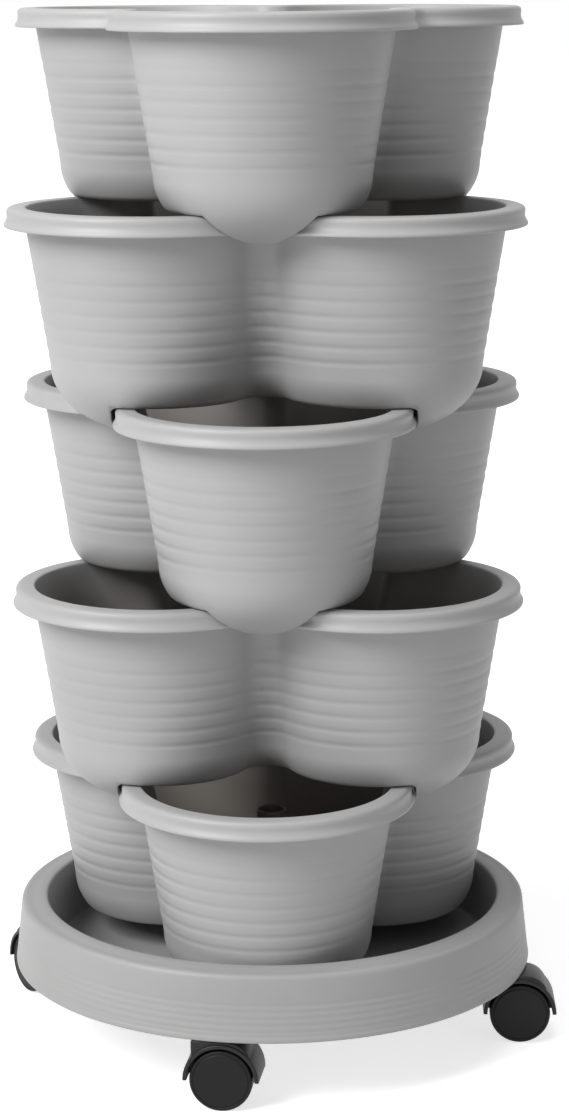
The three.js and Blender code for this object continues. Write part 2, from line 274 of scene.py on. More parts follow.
def edit(piece):
    bpy.ops.object.select_all(action="DESELECT")
    bpy.context.view_layer.objects.active = piece
    piece.select_set(True)
    bpy.ops.object.mode_set(mode="EDIT")


def leave_edit():
    bpy.ops.object.mode_set(mode="OBJECT")


def place_ring(piece, points):
    """Moves the selected ring of vertices to its points, each vertex by the station it carries."""
    mesh = bmesh.from_edit_mesh(piece.data)
    station = mesh.verts.layers.int["station"]
    for vertex in mesh.verts:
        if vertex.select:
            vertex.co = points[vertex[station]]
    bmesh.update_edit_mesh(piece.data, loop_triangles=False, destructive=False)


def ring_piece(name, rings, joined_ends):
    """A piece extruded ring by ring. Its last ring meets the first, or both ends get a flat face."""
    bpy.ops.mesh.primitive_circle_add(vertices=len(rings[0]), radius=rings[0][0].length)
    piece = bpy.context.object
    piece.name = piece.data.name = name
    edit(piece)
    mesh = bmesh.from_edit_mesh(piece.data)
    station = mesh.verts.layers.int.new("station")
    for index, vertex in enumerate(mesh.verts):
        vertex[station] = index
    bpy.ops.mesh.select_all(action="SELECT")
    place_ring(piece, rings[0])
    if not joined_ends:
        bpy.ops.mesh.edge_face_add()
    for ring in rings[1:]:
        if joined_ends:
            bpy.ops.mesh.extrude_edges_indiv()
        else:
            bpy.ops.mesh.extrude_region()
        place_ring(piece, ring)
    bpy.ops.mesh.select_all(action="SELECT")
    bpy.ops.mesh.remove_doubles(threshold=MERGE_DISTANCE)
    bpy.ops.mesh.dissolve_degenerate(threshold=MERGE_DISTANCE)
    bpy.ops.mesh.select_all(action="SELECT")
    bpy.ops.mesh.normals_make_consistent(inside=False)
    leave_edit()
    return piece


def turned_piece(name, section, steps, sweep=2 * math.pi):
    """A section of (radius, height) points, spun about the Z axis. A part sweep gets end faces."""
    bpy.ops.mesh.primitive_plane_add(size=1)
    piece = bpy.context.object
    piece.name = piece.data.name = name
    edit(piece)
    bpy.ops.mesh.select_all(action="SELECT")
    bpy.ops.mesh.merge(type="CENTER")
    points = [Vector((radius, 0, height)) for radius, height in section]
    bpy.ops.transform.translate(value=points[0])
    for last, point in zip(points, points[1:] + points[:1]):
        bpy.ops.mesh.extrude_vertices_move(TRANSFORM_OT_translate={"value": point - last})
    bpy.ops.mesh.select_all(action="SELECT")
    bpy.ops.mesh.remove_doubles(threshold=MERGE_DISTANCE)
    whole = math.isclose(sweep, 2 * math.pi)
    if not whole:
        bpy.ops.mesh.edge_face_add()
    bpy.ops.mesh.spin(steps=steps, angle=sweep, center=(0, 0, 0), axis=(0, 0, 1))
    bpy.ops.mesh.select_all(action="SELECT")
    bpy.ops.mesh.remove_doubles(threshold=MERGE_DISTANCE)
    bpy.ops.mesh.normals_make_consistent(inside=False)
    leave_edit()
    return piece


def rounded(corners):
    """An outline of corners, each given as its point and how far off it its rounding starts."""
    points = [Vector(point) for point, _ in corners]
    outline = []
    for index, (_, reach) in enumerate(corners):
        corner = points[index]
        if reach == 0:
            outline.append(corner)
            continue
        before = corner + (points[index - 1] - corner).normalized() * reach
        after = corner + (points[(index + 1) % len(points)] - corner).normalized() * reach
        for step in range(ROUNDING_STEPS + 1):
            share = step / ROUNDING_STEPS
            outline.append(before.lerp(corner, share).lerp(corner.lerp(after, share), share))
    return outline


def place(piece, matrix):
    """Moves a piece by its mesh, because its object stays at the origin."""
    piece.data.transform(matrix)
    piece.data.update()


def apply_modifier(piece, modifier):
    bpy.context.view_layer.objects.active = piece
    bpy.ops.object.modifier_apply(modifier=modifier.name)


def combine(piece, other, operation):
    modifier = piece.modifiers.new("combine", "BOOLEAN")
    modifier.operation = operation
    modifier.solver = "EXACT"
    modifier.object = other
    apply_modifier(piece, modifier)


def cut(piece, cutter):
    combine(piece, cutter, "DIFFERENCE")


def fuse(piece, other):
    combine(piece, other, "UNION")


def round_edges(piece, width, segments):
    modifier = piece.modifiers.new("round", "BEVEL")
    modifier.width = width
    modifier.segments = segments
    modifier.limit_method = "ANGLE"
    modifier.angle_limit = math.radians(BEVEL_ANGLE)
    apply_modifier(piece, modifier)


def discard(piece):
    bpy.data.objects.remove(piece)


def joined(name, pieces):
    bpy.ops.object.select_all(action="DESELECT")
    for piece in pieces:
        piece.select_set(True)
    bpy.context.view_layer.objects.active = pieces[0]
    bpy.ops.object.join()
    pieces[0].name = pieces[0].data.name = name
    return pieces[0]


def copied(name, piece):
    twin = piece.copy()
    twin.data = piece.data.copy()
    twin.name = twin.data.name = name
    bpy.context.collection.objects.link(twin)
    return twin


def finished(piece, material, body, replaced, smooth_angle=SMOOTH_ANGLE):
    """Turns a piece to metres and hands it to the body it rides on."""
    place(piece, Matrix.Scale(METRES_PER_MM, 4))
    bpy.ops.object.select_all(action="DESELECT")
    piece.select_set(True)
    bpy.context.view_layer.objects.active = piece
    bpy.ops.object.shade_smooth_by_angle(angle=math.radians(smooth_angle))
    piece.data.materials.clear()
    piece.data.materials.append(material)
    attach(piece, body)
    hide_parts(replaced)


# Three-lobed outline

def valley_of(radius):
    """Radius of the hollow fillet between two lobes, and how far its centre is from the axis."""
    across = LOBE_OFFSET * math.sin(math.pi / LOBES)
    fillet = max(VALLEY_FILLET, across * BRIDGE_SHARE - radius)
    along = math.sqrt((radius + fillet) ** 2 - across ** 2)
    return fillet, LOBE_OFFSET * math.cos(math.pi / LOBES) + along


def outline_point(radius, station, inset=0.0):
    """A point of the outline, in plan. Lobe 0 points along -Y, and an inset goes straight inwards."""
    lobe, step = divmod(station, ARC_STEPS + VALLEY_STEPS)
    fillet, reach = valley_of(radius)
    half_turn = math.pi / LOBES
    centre = Vector((reach * math.cos(half_turn), reach * math.sin(half_turn)))
    tangent = math.atan2(centre.y, centre.x - LOBE_OFFSET)
    if step <= ARC_STEPS:
        angle = tangent * (2 * step / ARC_STEPS - 1)
        x = LOBE_OFFSET + (radius - inset) * math.cos(angle)
        y = (radius - inset) * math.sin(angle)
    else:
        sweep = 2 * (half_turn - tangent)
        angle = tangent + math.pi + sweep * (step - ARC_STEPS) / VALLEY_STEPS
        x = centre.x + (fillet + inset) * math.cos(angle)
        y = centre.y + (fillet + inset) * math.sin(angle)
    turn = lobe * 2 * half_turn - math.pi / 2
    return Vector((x * math.cos(turn) - y * math.sin(turn), x * math.sin(turn) + y * math.cos(turn)))


def at(radius, station, depth, inset=0.0):
    """A point of the outline at a depth below the rim."""
    plan = outline_point(radius, station, inset)
    return Vector((plan.x, plan.y, -depth))


def outside_outline(point, radius, turn):
    """How far a point in plan is outside an outline whose first lobe is turned away from -Y."""
    half_turn = math.pi / LOBES
    polar = math.atan2(point.y, point.x) + math.pi / 2 - turn
    polar = abs((polar + half_turn) % (2 * half_turn) - half_turn)
    x = point.xy.length * math.cos(polar)
    y = point.xy.length * math.sin(polar)
    fillet, reach = valley_of(radius)
    centre_x = reach * math.cos(half_turn)
    centre_y = reach * math.sin(half_turn)
    tangent = math.atan2(centre_y, centre_x - LOBE_OFFSET)
    if math.atan2(y, x - LOBE_OFFSET) <= tangent:
        return math.hypot(x - LOBE_OFFSET, y) - radius
    return fillet - math.hypot(x - centre_x, y - centre_y)


def outside_rim_below(point):
    return outside_outline(point, LIP_RADIUS, math.pi / LOBES)


# Pot

def wall_radius(depth):
    return RIM_WALL_RADIUS - WALL_SLOPE * depth


BOWL_START = POT_HEIGHT - BOWL_RISE
BOWL_RADIUS = wall_radius(BOWL_START)


def rim_section():
    """From the inner wall over the top and the skirt to the outer wall, as points of lobe radius,
    inset and depth."""
    return rounded([
        ((wall_radius(INNER_RIM_DEPTH), WALL, INNER_RIM_DEPTH), 0),
        ((wall_radius(0), WALL, 0), RIM_INNER_ROUND),
        ((SKIRT_RADIUS, 0, 0), RIM_OUTER_ROUND),
        ((SKIRT_RADIUS - SKIRT_WAIST, 0, WAIST_DEPTH), WAIST_ROUND),
        ((LIP_RADIUS, 0, FLARE_DEPTH), LIP_ROUND),
        ((LIP_RADIUS, 0, LIP_HEIGHT), LIP_ROUND),
        ((LIP_RADIUS - LIP_WALL, 0, LIP_HEIGHT), LIP_ROUND),
        ((SKIRT_RADIUS - LIP_WALL, 0, RIM_THICKNESS), SKIRT_ROOT_ROUND),
        ((wall_radius(RIM_THICKNESS), 0, RIM_THICKNESS), WALL_ROOT_ROUND),
        *(((wall_radius(depth), 0, depth), 0) for depth in OUTER_WALL_DEPTHS),
    ])


def groove_levels():
    """Depths and cuts of the soft grooves that run round the wall."""
    levels = []
    for index in range(GROOVE_COUNT):
        middle = FIRST_GROOVE_DEPTH + index * GROOVE_PITCH
        deepest = GROOVE_CUT * (1 if index else TOP_GROOVE_SHARE)
        for share in GROOVE_PROFILE:
            cut_share = (1 + math.cos(math.pi * share)) / 2
            levels.append((middle + share * GROOVE_HALF_WIDTH, deepest * cut_share))
    return levels


def bowl_at(station, angle, inset=0.0):
    """A point of the bowl, by its angle down from the bowl's start."""
    depth = BOWL_START + BOWL_DEPTH * math.sin(angle)
    return at(BOWL_RADIUS * math.cos(angle), station, depth, inset)


def foot_edge_angle(station):
    """Angle down the bowl at which a station crosses the rim outline of the pot below."""
    low = math.asin(BOWL_RISE / BOWL_DEPTH)
    high = STEEPEST_BOWL_ANGLE
    if outside_rim_below(bowl_at(station, low)) <= HOOK_CLEARANCE:
        return low
    for _ in range(EDGE_SEARCH_STEPS):
        middle = (low + high) / 2
        if outside_rim_below(bowl_at(station, middle)) > HOOK_CLEARANCE:
            low = middle
        else:
            high = middle
    return high


def smaller(first, second, blend):
    """The smaller of two values, with a soft change from one to the other."""
    return -blend * math.log(math.exp(-first / blend) + math.exp(-second / blend))


def bowl_path(station):
    """From the start of the bowl to the middle of the pot's floor, over the foot if there is one."""
    edge = foot_edge_angle(station)
    edge_depth = BOWL_DEPTH * math.sin(edge)
    lowest = min(edge_depth, smaller(edge_depth, BOWL_RISE + FOOT_DROP, FOOT_TIP_BLEND))
    drop = max(lowest - BOWL_RISE, 0.0)
    end = math.asin(min(lowest, edge_depth) / BOWL_DEPTH)
    inner_radius = BOWL_RADIUS * math.cos(edge)
    blend = min(drop / FOOT_ROUND_ENDS, 1.0)
    blend = blend * blend * (3 - 2 * blend)
    rounding = FLOOR_EDGE_ROUND + (FOOT_EDGE_ROUND - FLOOR_EDGE_ROUND) * blend
    pace = math.hypot(BOWL_RADIUS * math.sin(end), BOWL_DEPTH * math.cos(end))
    start = end - rounding / pace
    path = [bowl_at(station, start * step / BOWL_STEPS) for step in range(BOWL_STEPS + 1)]
    corner = bowl_at(station, end)
    turn = at(inner_radius, station, BOWL_START + lowest)
    if drop >= rounding:
        after = turn + Vector((0, 0, rounding))
        floor_inset = 0.0
    else:
        floor_inset = rounding - drop
        after = at(inner_radius - floor_inset, station, POT_HEIGHT)
    first = path[-1]
    near = first.lerp(corner, EDGE_HANDLE_SHARE)
    far = after.lerp(turn, EDGE_HANDLE_SHARE)
    for step in range(1, EDGE_STEPS):
        share = step / EDGE_STEPS
        one = first.lerp(near, share).lerp(near.lerp(far, share), share)
        two = near.lerp(far, share).lerp(far.lerp(after, share), share)
        path.append(one.lerp(two, share))
    path.append(after)
    top = at(inner_radius - floor_inset, station, POT_HEIGHT)
    path += [after.lerp(top, 0.5), top]
    inside = at(inner_radius - floor_inset - FLOOR_RING_INSET, station, POT_HEIGHT)
    path.append(inside)
    inwards = Vector((inside.x, inside.y, 0)).normalized()
    hole = inwards * TUBE_BORE_RADIUS - Vector((0, 0, POT_HEIGHT))
    path += [inside.lerp(hole, share) for share in FLOOR_RING_SHARES]
    path.append(hole)
    return path


def inner_path(station):
    """From the bore of the middle tube over its top and the inner floor up to the inner wall."""
    floor = POT_HEIGHT - WALL
    floor_angle = math.asin((floor - BOWL_START) / BOWL_DEPTH)
    corner = bowl_at(station, floor_angle, WALL)
    outwards = Vector((corner.x, corner.y, 0)).normalized()
    tube = rounded([
        ((TUBE_BORE_RADIUS, (POT_HEIGHT + TUBE_DEPTH) / 2), 0),
        ((TUBE_BORE_RADIUS, TUBE_DEPTH), TUBE_EDGE_ROUND),
        ((TUBE_RADIUS, TUBE_DEPTH), TUBE_EDGE_ROUND),
        ((TUBE_RADIUS, floor), TUBE_ROOT_ROUND),
        ((TUBE_RADIUS + 2 * TUBE_ROOT_ROUND, floor), 0),
    ])
    path = [outwards * radius - Vector((0, 0, depth)) for radius, depth in tube]
    near = at(BOWL_RADIUS * math.cos(floor_angle) - INNER_FLOOR_RING_INSET, station, floor, WALL)
    path += [path[-1].lerp(near, 0.5), near]
    rise = bowl_at(station, floor_angle * INNER_BOWL_SHARES[0], WALL)
    before = near.lerp(corner, INNER_CORNER_START)
    path.append(before.lerp(corner.lerp(rise, INNER_CORNER_END), 0.5))
    path += [bowl_at(station, floor_angle * share, WALL) for share in INNER_BOWL_SHARES]
    path += [at(wall_radius(depth), station, depth, WALL) for depth in INNER_WALL_DEPTHS]
    return path


def mark_inside(pot):
    """Notes on each vertex how deep inside the pot it is, from 0 at the rim to 1, for the painted
    shade in its finish.
    """
    inside = pot.data.attributes.new("inside", "FLOAT", "POINT")
    for vertex in pot.data.vertices:
        depth = -vertex.co.z
        below = min(max(depth - BOWL_START, 0.0), POT_HEIGHT - BOWL_START)
        radius = wall_radius(min(depth, BOWL_START)) * math.cos(math.asin(below / BOWL_DEPTH))
        within = outside_outline(vertex.co, radius, 0.0) < -WALL / 2
        if within and depth < POT_HEIGHT - WALL / 2:
            share = (depth - SHADE_START) / SHADE_DEPTH
            inside.data[vertex.index].value = min(max(share, 0.0), 1.0)


def pot_piece():
    section = rim_section()
    paths = []
    for station in range(STATIONS):
        path = [at(radius, station, depth, inset) for radius, inset, depth in section]
        path += [at(wall_radius(depth) - cut_in, station, depth) for depth, cut_in in groove_levels()]
        path += bowl_path(station)
        path += inner_path(station)
        paths.append(path)
    rings = [list(ring) for ring in zip(*paths)]
    pot = ring_piece("pot", rings + rings[:1], True)
    mark_inside(pot)
    return pot


# Drain grid

def plain_cutter(radius, length, steps):
    bpy.ops.mesh.primitive_cylinder_add(vertices=steps, radius=radius, depth=length)
    return bpy.context.object


def slot_cutter(x, y, length, width):
    cutter = plain_cutter(width / 2, CUT_THROUGH * GRID_THICKNESS, GRID_SLOT_STEPS)
    for vertex in cutter.data.vertices:
        if abs(vertex.co.x) > MERGE_DISTANCE:
            vertex.co.x += math.copysign((length - width) / 2, vertex.co.x)
    place(cutter, Matrix.Translation((x, y, GRID_BOTTOM)))
    return cutter


def drain_grid_piece():
    radius = wall_radius(BOWL_START - GRID_OUTLINE_RISE)
    edge = rounded([
        ((GRID_THICKNESS, 0), 0),
        ((0, 0), GRID_EDGE_ROUND),
        ((0, GRID_THICKNESS), GRID_EDGE_ROUND),
        ((GRID_THICKNESS, GRID_THICKNESS), 0),
    ])
    rings = []
    for inset, height in edge[1:-1]:
        level = -(GRID_BOTTOM + height)
        rings.append([at(radius, station, level, GRID_INSET + inset) for station in range(STATIONS)])
    plate = ring_piece("drain_grid", rings, False)
    places = set()
    for along, across, length, width in GRID_SLOTS:
        for side, end in ((1, 1), (1, -1), (-1, 1), (-1, -1)):
            places.add((LOBE_OFFSET + side * along, end * across, length, width))
    for along in GRID_HOLES_ALONG:
        for across in GRID_HOLES_ACROSS:
            places.add((-along, across, GRID_HOLE_WIDTH, GRID_HOLE_WIDTH))
    cutters = [slot_cutter(*slot_place) for slot_place in sorted(places)]
    slots = joined("slots", cutters)
    for lobe in range(LOBES):
        turned = copied("turned_slots", slots)
        place(turned, Matrix.Rotation(lobe * 2 * math.pi / LOBES - math.pi / 2, 4, "Z"))
        cut(plate, turned)
        discard(turned)
    discard(slots)
    hole = plain_cutter(GRID_HOLE_RADIUS, CUT_THROUGH * GRID_BOTTOM, GRID_HOLE_STEPS)
    cut(plate, hole)
    discard(hole)
    leg_top = GRID_BOTTOM + GRID_THICKNESS / 2
    leg_section = rounded([
        ((0, 0), 0),
        ((GRID_LEG_RADIUS, 0), GRID_LEG_ROUND),
        ((GRID_LEG_RADIUS, leg_top), 0),
        ((0, leg_top), 0),
    ])
    legs = []
    for lobe in range(LOBES):
        leg = turned_piece("leg", leg_section, GRID_LEG_STEPS)
        angle = lobe * 2 * math.pi / LOBES - math.pi / 2
        place(leg, Matrix.Rotation(angle, 4, "Z") @ Matrix.Translation((LOBE_OFFSET, 0, 0)))
        legs.append(leg)
    return joined("drain_grid", [plate] + legs)


# Tray

def flare(height, cut_in=0.0):
    """Radius of the tray's outer wall at a height, less a cut into it."""
    share = (height - TRAY_BOTTOM) / (TRAY_TOP - TRAY_SHOULDER - TRAY_BOTTOM)
    return TRAY_OUTER_BOTTOM + (TRAY_OUTER_TOP - TRAY_OUTER_BOTTOM) * share - cut_in


def tray_section():
    """The tray's floor and hollow rim, from the axis under the floor, round the rim and back."""
    floor_bottom = TRAY_FLOOR - TRAY_FLOOR_THICKNESS
    rim_roof = TRAY_TOP - TRAY_RIM_THICKNESS
    first_rib = TRAY_BOTTOM + FIRST_TRAY_RIB
    ribs = []
    for rib in range(TRAY_RIBS):
        for share in TRAY_RIB_PROFILE:
            height = first_rib + rib * TRAY_RIB_PITCH + share * TRAY_RIB_HALF_WIDTH
            cut_in = TRAY_RIB_CUT * (1 + math.cos(math.pi * share)) / 2
            ribs.append(((flare(height, cut_in), height), 0))
    bead_top = TRAY_BOTTOM + TRAY_BEAD_HEIGHT
    above_bead = TRAY_BOTTOM + TRAY_WALL_START
    below_round = TRAY_TOP - TRAY_WALL_END
    return rounded([
        ((0, floor_bottom), 0),
        ((TRAY_INNER_BOTTOM + TRAY_WALL, floor_bottom), TRAY_HOLLOW_ROUND),
        ((TRAY_INNER_TOP + TRAY_WALL, rim_roof), TRAY_HOLLOW_ROUND),
        ((TRAY_OUTER_TOP - TRAY_WALL, rim_roof), TRAY_HOLLOW_ROUND),
        ((TRAY_OUTER_BOTTOM - TRAY_WALL, TRAY_BOTTOM), TRAY_EDGE_ROUND),
        ((TRAY_OUTER_BOTTOM, TRAY_BOTTOM), TRAY_BEAD_ROUND),
        ((TRAY_OUTER_BOTTOM, bead_top), TRAY_BEAD_ROUND),
        ((flare(above_bead, TRAY_RIB_CUT), above_bead), 0),
        *ribs,
        ((flare(below_round), below_round), 0),
        ((TRAY_OUTER_TOP, TRAY_TOP - TRAY_RIM_STEP), TRAY_RIM_ROUND),
        ((TRAY_OUTER_TOP - TRAY_STEP_WIDTH, TRAY_TOP - TRAY_RIM_STEP), TRAY_TOP_ROUND),
        ((TRAY_INNER_TOP + TRAY_FLAT_WIDTH, TRAY_TOP), TRAY_TOP_ROUND),
        ((TRAY_INNER_TOP, TRAY_TOP), TRAY_INNER_ROUND),
        ((TRAY_INNER_BOTTOM, TRAY_FLOOR), TRAY_ROOT_ROUND),
        ((2 * TRAY_INNER_BOTTOM / 3, TRAY_FLOOR), 0),
        ((TRAY_INNER_BOTTOM / 3, TRAY_FLOOR), 0),
        ((0, TRAY_FLOOR), 0),
    ])


def tray_piece(stems):
    body = turned_piece("rolling_tray", tray_section(), TRAY_STEPS)
    roof = SOCKET_TOP + SOCKET_ROOF
    seat = SOCKET_TOP - SOCKET_SEAT_HEIGHT
    tube = [(SOCKET_BORE, TRAY_BOTTOM), (SOCKET_RADIUS, TRAY_BOTTOM), (SOCKET_RADIUS, roof)]
    tube += [(0, roof), (0, SOCKET_TOP), (SOCKET_SEAT_RADIUS, SOCKET_TOP)]
    tube += [(SOCKET_SEAT_RADIUS, seat), (SOCKET_BORE, seat)]
    sockets = []
    for stem in stems:
        socket = turned_piece("socket", tube, SOCKET_STEPS)
        place(socket, Matrix.Translation((stem.x, stem.y, 0)))
        for vertex in socket.data.vertices:
            reach = vertex.co.xy.length
            within = flare(vertex.co.z, TRAY_WALL / 2)
            vertex.co.xy *= min(reach, within) / reach
        sockets.append(socket)
    return joined("rolling_tray", [body] + sockets)


# Caster: its stem stands on the Z axis and its axle lies along Y, a trail away in X

def across_axle(trail):
    """Turns a piece spun about Z so that it lies about the axle."""
    return Matrix.Translation((trail, 0, WHEEL_RADIUS)) @ Matrix.Rotation(math.pi / 2, 4, "X")


def shoulder_piece(trail):
    """The block under the tray, with its far upper edge well rounded."""
    bpy.ops.mesh.primitive_cube_add(size=1)
    shoulder = bpy.context.object
    shape = Matrix.Diagonal((SHOULDER_LENGTH, SHOULDER_WIDTH, SHOULDER_TOP - WHEEL_RADIUS, 1))
    place(shoulder, Matrix.Translation((trail, 0, (SHOULDER_TOP + WHEEL_RADIUS) / 2)) @ shape)
    edit(shoulder)
    bpy.ops.mesh.select_all(action="DESELECT")
    bpy.ops.mesh.select_mode(type="EDGE")
    mesh = bmesh.from_edit_mesh(shoulder.data)
    for edge in mesh.edges:
        middle = (edge.verts[0].co + edge.verts[1].co) / 2
        edge.select_set(middle.x > trail + SHOULDER_LENGTH / 4 and middle.z > SHOULDER_TOP - 1)
    bmesh.update_edit_mesh(shoulder.data)
    bpy.ops.mesh.bevel(offset=SHOULDER_ROUND, segments=SHOULDER_ROUND_STEPS, affect="EDGES")
    bpy.ops.mesh.select_mode(type="VERT")
    leave_edit()
    round_edges(shoulder, SHOULDER_EDGE_ROUND, SHOULDER_EDGE_STEPS)
    return shoulder


def housing_piece(trail):
    """Hood, web and shoulder in one closed shell. Web and shoulder end inside the hood's wall."""
    half = FORK_WIDTH / 2 + WHEEL_GAP + WHEEL_WIDTH
    inner, outer = HOOD_INNER_RADIUS, HOOD_RADIUS
    section = rounded([
        ((inner, -half), HOOD_INNER_EDGE_ROUND),
        ((outer, -half), HOOD_EDGE_ROUND),
        ((outer, half), HOOD_EDGE_ROUND),
        ((inner, half), HOOD_INNER_EDGE_ROUND),
    ])
    hood = turned_piece("hood", section, HOOD_STEPS, math.pi)
    place(hood, across_axle(trail) @ Matrix.Rotation(math.pi, 4, "Z"))
    web = plain_cutter((inner + 2 * outer) / 3, FORK_WIDTH, HOOD_STEPS)
    for vertex in web.data.vertices:
        if vertex.co.y < -MERGE_DISTANCE:
            vertex.co.xy = vertex.co.xy.normalized() * 2 * AXLE_BORE
    place(web, across_axle(trail))
    shoulder = shoulder_piece(trail)
    room = plain_cutter((2 * inner + outer) / 3, CUT_THROUGH * half, BORE_STEPS)
    place(room, across_axle(trail))
    cut(shoulder, room)
    bore = plain_cutter(STEM_BORE, SHOULDER_TOP, BORE_STEPS)
    place(bore, Matrix.Translation((0, 0, STEM_FLOOR + SHOULDER_TOP / 2)))
    axle_bore = plain_cutter(AXLE_BORE, CUT_THROUGH * half, BORE_STEPS)
    place(axle_bore, across_axle(trail))
    for part in (web, shoulder):
        fuse(hood, part)
    for cutter in (bore, axle_bore):
        cut(hood, cutter)
    for helper in (web, shoulder, room, bore, axle_bore):
        discard(helper)
    return hood


def wheel_piece():
    """A wheel about Z whose outer face looks up."""
    half = WHEEL_WIDTH / 2
    groove_out = FACE_GROOVE_RADIUS + FACE_GROOVE_HALF_WIDTH
    groove_in = FACE_GROOVE_RADIUS - FACE_GROOVE_HALF_WIDTH
    face = half - FACE_DROP
    seat_top = half - WHEEL_FACE
    corners = [((AXLE_BORE, -half), 0), ((WHEEL_RADIUS, -half), WHEEL_INNER_ROUND)]
    corners += [((WHEEL_RADIUS, face), WHEEL_OUTER_ROUND), ((groove_out, face), FACE_GROOVE_ROUND)]
    corners += [((FACE_GROOVE_RADIUS, face - FACE_GROOVE_CUT), FACE_GROOVE_ROUND)]
    corners += [((groove_in, half - FACE_CROWN), FACE_GROOVE_ROUND)]
    for share in FACE_CROWN_SHARES:
        corners.append(((groove_in * share, half - FACE_CROWN * share ** 2), 0))
    seat_bottom = seat_top - AXLE_SEAT_DEPTH
    corners += [((0, seat_top), 0), ((AXLE_SEAT_RADIUS, seat_top), 0)]
    corners += [((AXLE_SEAT_RADIUS, seat_bottom), 0), ((AXLE_BORE, seat_bottom), 0)]
    return turned_piece("wheel", rounded(corners), WHEEL_STEPS)


# Finishes

def new_finish(name):
    finish = bpy.data.materials.new(name)
    finish.use_nodes = True
    nodes = finish.node_tree.nodes
    return finish, nodes, finish.node_tree.links, nodes["Principled BSDF"]


def object_noise(nodes, links, scale, detail, roughness=0.5):
    coordinates = nodes.new("ShaderNodeTexCoord")
    noise = nodes.new("ShaderNodeTexNoise")
    noise.inputs["Scale"].default_value = scale
    noise.inputs["Detail"].default_value = detail
    noise.inputs["Roughness"].default_value = roughness
    links.new(coordinates.outputs["Object"], noise.inputs["Vector"])
    return noise.outputs["Fac"]


def blended(nodes, links, factor, first, second):
    """The first colour where the factor is low and the second where it is high."""
    ramp = nodes.new("ShaderNodeValToRGB")
    for stop, position, colour in zip(ramp.color_ramp.elements, TONE_RANGE, (first, second)):
        stop.position = position
        stop.color = (*colour, 1)
    links.new(factor, ramp.inputs["Fac"])
    return ramp.outputs["Color"]


def spread(nodes, links, factor, low, high):
    """The factor's range from 0 to 1, spread from a low value to a high one."""
    remap = nodes.new("ShaderNodeMapRange")
    remap.inputs["To Min"].default_value = low
    remap.inputs["To Max"].default_value = high
    links.new(factor, remap.inputs["Value"])
    return remap.outputs["Result"]


def grain(nodes, links, shader, scale, depth):
    bump = nodes.new("ShaderNodeBump")
    bump.inputs["Strength"].default_value = 1.0
    bump.inputs["Distance"].default_value = depth
    links.new(object_noise(nodes, links, scale, detail=4), bump.inputs["Height"])
    links.new(bump.outputs["Normal"], shader.inputs["Normal"])


def moulded_plastic(name, dark, light, roughness, grain_scale, grain_depth, gloss=0.5):
    """Satin moulded plastic: a slow drift of tone, uneven sheen and a fine grain."""
    finish, nodes, links, shader = new_finish(name)
    shader.inputs["Specular IOR Level"].default_value = gloss
    tone = object_noise(nodes, links, TONE_SCALE, detail=3)
    links.new(blended(nodes, links, tone, dark, light), shader.inputs["Base Color"])
    sheen = object_noise(nodes, links, SHEEN_SCALE, detail=5, roughness=0.6)
    low, high = (roughness + drift for drift in SHEEN_DRIFT)
    links.new(spread(nodes, links, sheen, low, high), shader.inputs["Roughness"])
    grain(nodes, links, shader, grain_scale, grain_depth)
    return finish


def plated_steel(name):
    finish, nodes, links, shader = new_finish(name)
    shader.inputs["Metallic"].default_value = 1.0
    tone = object_noise(nodes, links, STEEL_TONE_SCALE, detail=4)
    zinc = blended(nodes, links, tone, (0.50, 0.50, 0.51), (0.62, 0.62, 0.63))
    links.new(zinc, shader.inputs["Base Color"])
    links.new(spread(nodes, links, tone, *STEEL_ROUGHNESS), shader.inputs["Roughness"])
    grain(nodes, links, shader, scale=900.0, depth=0.00002)
    return finish


def painted_inside_shade(finish, painted_shade_colour):
    """Paints shade into a pot's plastic: its colour turns darker and warmer where the pot is marked
    as inside.
    """
    nodes, links = finish.node_tree.nodes, finish.node_tree.links
    shader = nodes["Principled BSDF"]
    outside = shader.inputs["Base Color"].links[0].from_socket
    mark = nodes.new("ShaderNodeAttribute")
    mark.attribute_name = "inside"
    mix = nodes.new("ShaderNodeMix")
    mix.data_type = "RGBA"
    factor, first, second = (socket for socket in mix.inputs if socket.enabled)
    links.new(mark.outputs["Fac"], factor)
    links.new(outside, first)
    second.default_value = (*painted_shade_colour, 1)
    result = next(socket for socket in mix.outputs if socket.enabled)
    links.new(result, shader.inputs["Base Color"])


pot_plastic = moulded_plastic(
    "grey_pot_plastic", dark=(0.440, 0.438, 0.440), light=(0.470, 0.468, 0.470),
    roughness=0.46, grain_scale=1400.0, grain_depth=0.00003)
# Painted shade: a darker, warmer colour deeper inside each pot
painted_inside_shade(pot_plastic, painted_shade_colour=(0.232, 0.209, 0.189))
tray_plastic = moulded_plastic(
    "grey_tray_plastic", dark=(0.388, 0.384, 0.384), light=(0.416, 0.412, 0.412),
    roughness=0.48, grain_scale=1400.0, grain_depth=0.00003)
grid_plastic = moulded_plastic(
    "dark_grey_grid_plastic", dark=(0.235, 0.215, 0.200), light=(0.275, 0.255, 0.240),
    roughness=0.55, grain_scale=1200.0, grain_depth=0.00004)
caster_plastic = moulded_plastic(
    "black_hood_plastic", dark=(0.008, 0.008, 0.009), light=(0.013, 0.013, 0.014),
    roughness=0.40, grain_scale=1500.0, grain_depth=0.00003, gloss=0.30)
wheel_plastic = moulded_plastic(
    "black_wheel_plastic", dark=(0.006, 0.006, 0.006), light=(0.010, 0.010, 0.010),
    roughness=0.50, grain_scale=1500.0, grain_depth=0.00004, gloss=0.22)
steel = plated_steel("zinc_plated_steel")


# Building the tower

joints = {joint["name"]: joint for joint in frame["record"]["behaviour"]["joints"]}


def joint_place(name):
    return Vector(joints[name]["pos_m"]) / METRES_PER_MM


stem_places = [joint_place(f"caster_{number}_swivel") for number in range(1, CASTERS + 1)]
tray = tray_piece(stem_places)
finished(tray, tray_plastic, "tray", "rolling_tray")

